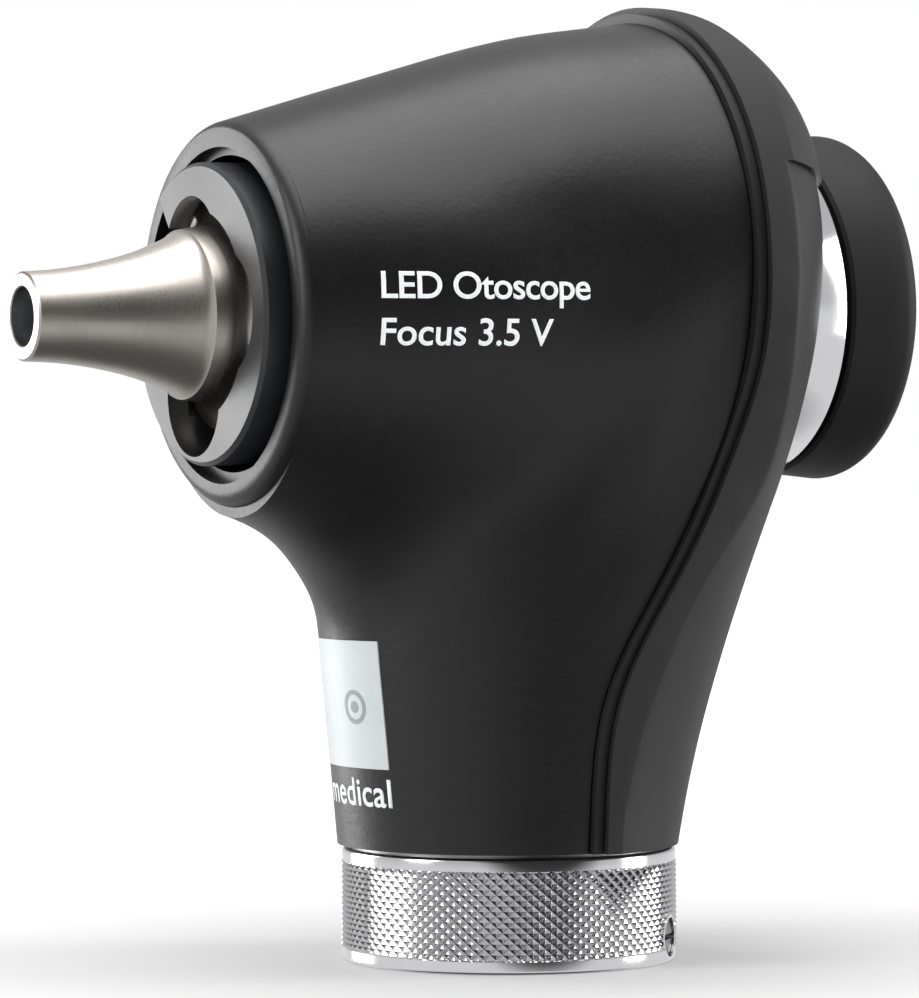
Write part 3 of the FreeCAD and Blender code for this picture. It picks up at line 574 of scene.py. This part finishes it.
@dataclass
class Printing:
    """White printing laid on the housing: generic words and a lens sign on the plate."""

    head: Head
    housing: bpy.types.Object
    plate: bpy.types.Object
    ink_mm: float = 0.03  # thickness of the ink, drawn thicker than it is so that it stands clear
    cell_mm: float = 0.35  # the words are divided this finely to follow the curve
    sign_ink_mm: float = 0.02

    def laid(self, name: str, mesh: bpy.types.Mesh, onto: bpy.types.Object, place: Matrix, towards: Vector,
             finish: Finish) -> bpy.types.Object:
        """Lays a flat mesh on a curved piece.

        Args:
            name: The piece's name.
            mesh: The flat mesh, the ink's thickness in its own Z.
            onto: The piece it is printed on.
            place: Puts the flat mesh outside the housing, facing out.
            towards: Direction in which it is pressed on.
            finish: Its finish.

        Returns:
            The laid piece.
        """
        tree = BVHTree.FromObject(onto, bpy.context.evaluated_depsgraph_get())
        for vert in mesh.vertices:
            lift = vert.co.z
            start = place @ Vector((vert.co.x, vert.co.y, 0.0))
            hit, normal, _, _ = tree.ray_cast(start, towards)
            if hit is None:
                hit, normal = start, -towards
            vert.co = hit + normal * (INK_LIFT + lift)
        work = bmesh.new()
        work.from_mesh(mesh)
        bmesh.ops.remove_doubles(work, verts=work.verts, dist=1e-7)
        bmesh.ops.recalc_face_normals(work, faces=work.faces)
        work.to_mesh(mesh)
        work.free()
        piece = as_piece(name, mesh, self.head.shop.get(finish))
        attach(piece, "head")
        return piece

    def word(self, text: str, size_mm: float, spread: float) -> bpy.types.Mesh:
        """A word as a thin, evenly divided mesh.

        Args:
            text: The word.
            size_mm: Height of its capitals.
            spread: Letter spacing.

        Returns:
            The word, its baseline on X, the ink's thickness in Z.
        """
        curve = bpy.data.curves.new("lettering", "FONT")
        curve.body = text
        curve.size = size_mm * MM / 0.70
        curve.space_character = spread
        curve.offset = 0.012 * curve.size
        curve.resolution_u = 6
        holder = bpy.data.objects.new("lettering", curve)
        bpy.context.collection.objects.link(holder)
        bpy.context.view_layer.update()
        shaped = holder.evaluated_get(bpy.context.evaluated_depsgraph_get())
        mesh = bpy.data.meshes.new_from_object(shaped)
        bpy.data.objects.remove(holder)
        work = bmesh.new()
        work.from_mesh(mesh)
        for axis in (Vector((1, 0, 0)), Vector((0, 1, 0))):
            low = min(vert.co.dot(axis) for vert in work.verts)
            high = max(vert.co.dot(axis) for vert in work.verts)
            cuts = int((high - low) / (self.cell_mm * MM)) + 1
            for i in range(1, cuts):
                geometry = work.verts[:] + work.edges[:] + work.faces[:]
                middle = axis * (low + (high - low) * i / cuts)
                bmesh.ops.bisect_plane(work, geom=geometry, plane_co=middle, plane_no=axis)
        raised = bmesh.ops.extrude_face_region(work, geom=work.faces[:])
        top = [item for item in raised["geom"] if isinstance(item, bmesh.types.BMVert)]
        bmesh.ops.translate(work, verts=top, vec=(0, 0, self.ink_mm * MM))
        work.to_mesh(mesh)
        work.free()
        return mesh

    def sign(self) -> bpy.types.Mesh:
        """A lens sign: a ring with a dot in it.

        Returns:
            The sign round its own middle, the ink's thickness in Z.
        """
        work = bmesh.new()
        for inner, outer in ((0.95, 1.3), (0.0, 0.45)):
            made = bmesh.ops.create_circle(work, cap_ends=True, segments=48, radius=outer * MM)
            if inner > 0:
                face = list({f for v in made["verts"] for f in v.link_faces})
                bmesh.ops.inset_region(work, faces=face, thickness=(outer - inner) * MM, use_boundary=True,
                                       use_even_offset=True)
                bmesh.ops.delete(work, geom=face, context="FACES_ONLY")
        raised = bmesh.ops.extrude_face_region(work, geom=work.faces[:])
        top = [item for item in raised["geom"] if isinstance(item, bmesh.types.BMVert)]
        bmesh.ops.translate(work, verts=top, vec=(0, 0, self.sign_ink_mm * MM))
        mesh = bpy.data.meshes.new("lens_sign")
        work.to_mesh(mesh)
        work.free()
        return mesh

    def build(self) -> list[bpy.types.Object]:
        """Lays the words on the barrel's side and below the plate, and the sign on the plate.

        Returns:
            The printed pieces.
        """
        # pad-printed ink: an even, slightly raised white film with a soft sheen
        ink = Finish("white_pad_ink", "label_white", Pattern.PRINTED, "#e9edee", "#eef1f2",
                     roughness=0.45, spread=0.03, grain_mm=0.2, relief_mm=0.0008)
        side = Matrix(((0, 0, 1, 30 * MM), (1, 0, 0, 0), (0, 1, 0, 0), (0, 0, 0, 1)))
        front = Matrix(((1, 0, 0, 0), (0, 0, -1, -40 * MM), (0, 1, 0, 0), (0, 0, 0, 1)))
        inward, backward = Vector((-1, 0, 0)), Vector((0, 1, 0))
        rows = (("barrel_print_upper", "LED Otoscope", 1.95, 0.955, side, (-19.25, 50.35), inward),
                ("barrel_print_lower", "Focus 3.5 V", 1.95, 1.0, side, (-19.2, 46.95), inward),
                ("neck_print", "medical", 2.12, 1.03, front, (-4.5, 12.4), backward))
        made = []
        for name, text, size, spread, plane, (x, z), towards in rows:
            place = plane @ Matrix.Translation((x * MM, z * MM, 0))
            made.append(self.laid(name, self.word(text, size, spread), self.housing, place, towards, ink))
            LOG.info("printing %s", name)
        # the same ink in mid grey, on the plate
        grey = Finish("grey_pad_ink", "label_white", Pattern.PRINTED, "#8d9295", "#979c9f",
                      roughness=0.45, spread=0.03, grain_mm=0.2, relief_mm=0.0008)
        place = front @ Matrix.Translation((1.9 * MM, 19.9 * MM, 0))
        made.append(self.laid("plate_lens_sign", self.sign(), self.plate, place, backward, grey))
        return made


@dataclass
class Fittings:
    """The remaining nodes, dressed as they are."""

    head: Head

    def build(self) -> None:
        """Gives each CAD node that still shows the finish of its slot."""
        for row in self.head.frame["record"]["subparts"]:
            shown = self.head.frame["nodes"][row["node"]]
            if shown.hide_render:
                continue
            material = self.head.shop.for_slot(row["material_slot"])
            for slot in shown.material_slots:
                slot.material = material
            LOG.info("dressed %s", row["node"])


@dataclass(frozen=True)
class Softbox:
    """One rectangular studio light.

    Attributes:
        name: What it is called on set.
        place: Where its middle hangs.
        aim: What it points at.
        size: Width and height.
        watts: Its power.
    """

    name: str
    place: tuple[float, float, float]
    aim: tuple[float, float, float]
    size: tuple[float, float]
    watts: float


@dataclass
class Studio:
    """White sweep all round, soft light, and the camera.

    Attributes:
        floor_half: Half the floor's side.
        floor_glow: Strength of the floor's painted glow, light it gives off though it is no lamp, near the
            head and far out.
        glow_reach: Distances between which that strength climbs.
        flag_towards: Direction of the dark flag's middle.
        flag_edges: Cosines at which the flag starts and is full.
        surround: Strength of the surround outside and inside the flag.
        by_height: Upward part of a direction and the share of light there, from the foot up.
        boxes: The softboxes.
    """

    floor_half: float = 4.0
    floor_glow: tuple[float, float] = (0.0, 0.85)
    glow_reach: tuple[float, float] = (0.05, 0.40)
    flag_towards: tuple[float, float, float] = (0.910, -0.080, 0.407)
    flag_edges: tuple[float, float] = (0.64, 0.88)
    surround: tuple[float, float] = (0.80, 0.05)
    by_height: tuple[tuple[float, float], ...] = ((-0.86, 0.15), (-0.60, 1.0), (-0.06, 1.0), (0.06, 0.70))
    boxes: tuple[Softbox, ...] = (
        Softbox("overhead", (0.09, -0.02, 0.60), (0.09, -0.02, 0.05), (0.74, 0.60), 4.6),
        Softbox("front_left", (-0.05, -0.80, 0.30), (0.0, -0.02, 0.05), (0.30, 0.50), 2.2),
        Softbox("far_left", (-0.60, -0.33, 0.12), (0.0, -0.02, 0.05), (0.34, 0.50), 2.8),
        Softbox("rear_right", (0.30, 0.72, 0.18), (0.0, 0.01, 0.05), (0.26, 0.60), 3.5),
    )

    def light(self, box: Softbox) -> None:
        """Hangs one softbox.

        Args:
            box: The softbox.
        """
        data = bpy.data.lights.new(box.name, "AREA")
        data.shape, data.size, data.size_y = "RECTANGLE", box.size[0], box.size[1]
        data.energy = box.watts
        lamp = bpy.data.objects.new(box.name, data)
        lamp.location = box.place
        lamp.rotation_euler = (Vector(box.aim) - Vector(box.place)).to_track_quat("-Z", "Y").to_euler()
        bpy.context.collection.objects.link(lamp)

    def floor(self, shop: FinishShop) -> None:
        """Lays the pale floor with a painted glow of its own: none near the head, climbing to plain white
        further out.

        Args:
            shop: Adds the nodes of its material.
        """
        work = bmesh.new()
        bmesh.ops.create_grid(work, x_segments=1, y_segments=1, size=self.floor_half)
        mesh = bpy.data.meshes.new("floor")
        work.to_mesh(mesh)
        work.free()
        material = bpy.data.materials.new("white_floor_painted_glow")
        material.use_nodes = True
        tree = material.node_tree
        shader = tree.nodes["Principled BSDF"]
        shader.inputs["Base Color"].default_value = linear("#d8d8d8")
        shader.inputs["Roughness"].default_value = 0.6
        shader.inputs["Emission Color"].default_value = (1.0, 1.0, 1.0, 1.0)
        where = shop.node(tree, "ShaderNodeTexCoord", {}, {}).outputs["Object"]
        away = shop.node(tree, "ShaderNodeVectorMath", {"operation": "LENGTH"}, {"Vector": where})
        # painted glow: the floor emits light though it is no lamp, nothing by the head and rising with
        # distance, so the shade beside the head stays and the horizon fades to white
        glow = shop.node(tree, "ShaderNodeMapRange",
                         {"From Min": self.glow_reach[0], "From Max": self.glow_reach[1],
                          "To Min": self.floor_glow[0], "To Max": self.floor_glow[1]},
                         {"Value": away.outputs["Value"]})
        tree.links.new(glow.outputs["Result"], shader.inputs["Emission Strength"])
        mesh.materials.append(material)
        plane = bpy.data.objects.new("floor", mesh)
        bpy.context.collection.objects.link(plane)
        plane.visible_glossy = False  # polished pieces mirror the surround's foot instead

    def sky(self, shop: FinishShop) -> None:
        """A white surround with a dark flag and a dark foot that the polished pieces mirror.

        Args:
            shop: Adds the nodes of the surround.
        """
        world = bpy.data.worlds.new("white_surround")
        world.use_nodes = True
        tree = world.node_tree
        tree.nodes.clear()
        out = shop.node(tree, "ShaderNodeOutputWorld", {}, {})
        ray = shop.node(tree, "ShaderNodeLightPath", {}, {})
        looking = shop.node(tree, "ShaderNodeTexCoord", {}, {}).outputs["Generated"]
        towards = Vector(self.flag_towards).normalized()
        facing = shop.node(tree, "ShaderNodeVectorMath", {"operation": "DOT_PRODUCT"}, {})
        tree.links.new(looking, facing.inputs[0])
        facing.inputs[1].default_value = towards
        flagged = shop.node(tree, "ShaderNodeMapRange", {"interpolation_type": "SMOOTHSTEP",
                          "From Min": self.flag_edges[0], "From Max": self.flag_edges[1],
                          "To Min": self.surround[0], "To Max": self.surround[1]},
                         {"Value": facing.outputs["Value"]})
        parts = shop.node(tree, "ShaderNodeSeparateXYZ", {}, {"Vector": looking})
        lifted = shop.node(tree, "ShaderNodeMapRange",
                           {"From Min": -1.0, "From Max": 1.0}, {"Value": parts.outputs["Z"]})
        ramp = shop.node(tree, "ShaderNodeValToRGB", {}, {"Fac": lifted.outputs["Result"]})
        stops = ramp.color_ramp.elements
        while len(stops) < len(self.by_height):
            stops.new(0.5)
        for stop, (height, tone) in zip(stops, self.by_height):
            stop.position = (height + 1.0) / 2.0
            stop.color = (tone, tone, tone, 1.0)
        shade = shop.node(tree, "ShaderNodeMath", {"operation": "MULTIPLY"}, {})
        tree.links.new(flagged.outputs["Result"], shade.inputs[0])
        tree.links.new(ramp.outputs["Color"], shade.inputs[1])
        seen = shop.node(tree, "ShaderNodeBackground", {"Color": (1.0, 1.0, 1.0, 1.0), "Strength": 1.0}, {})
        lit = shop.node(tree, "ShaderNodeBackground",
                        {"Color": (1.0, 1.0, 1.0, 1.0)}, {"Strength": shade.outputs["Value"]})
        both = shop.node(tree, "ShaderNodeMixShader", {}, {"Fac": ray.outputs["Is Camera Ray"]})
        tree.links.new(lit.outputs["Background"], both.inputs[1])
        tree.links.new(seen.outputs["Background"], both.inputs[2])
        tree.links.new(both.outputs["Shader"], out.inputs["Surface"])
        bpy.context.scene.world = world

    def camera(self) -> None:
        """Places the camera at the side and a little to the front."""
        data = bpy.data.cameras.new("camera")
        data.sensor_width = 36.0
        data.lens = 164.47
        data.clip_start, data.clip_end = 0.01, 20.0
        camera = bpy.data.objects.new("camera", data)
        right, up = (0.47820, 0.87824, -0.00333), (-0.00540, 0.00673, 0.99996)
        back = (0.87823, -0.47816, 0.00796)
        turn = Matrix((right, up, back)).transposed()
        camera.matrix_world = Matrix.Translation((0.30860, -0.17226, 0.03836)) @ turn.to_4x4()
        bpy.context.collection.objects.link(camera)
        bpy.context.scene.camera = camera

    def build(self, shop: FinishShop) -> None:
        """Sets up floor, surround, lights and camera.

        Args:
            shop: Adds the nodes that they need.
        """
        self.floor(shop)
        self.sky(shop)
        for box in self.boxes:
            self.light(box)
        self.camera()
        bpy.context.scene.view_settings.view_transform = "Standard"


def main() -> None:
    """Builds the looks in order."""
    logging.basicConfig(level=logging.INFO, format="%(message)s")
    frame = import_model()
    head = Head(frame, FinishShop())
    copies = SmoothCopies(head).build()
    KnurledCollar(head).build()
    Printing(head, copies["front_housing"], copies["front_label"]).build()
    Fittings(head).build()
    Studio().build(head.shop)


if __name__ == "__main__":
    main()
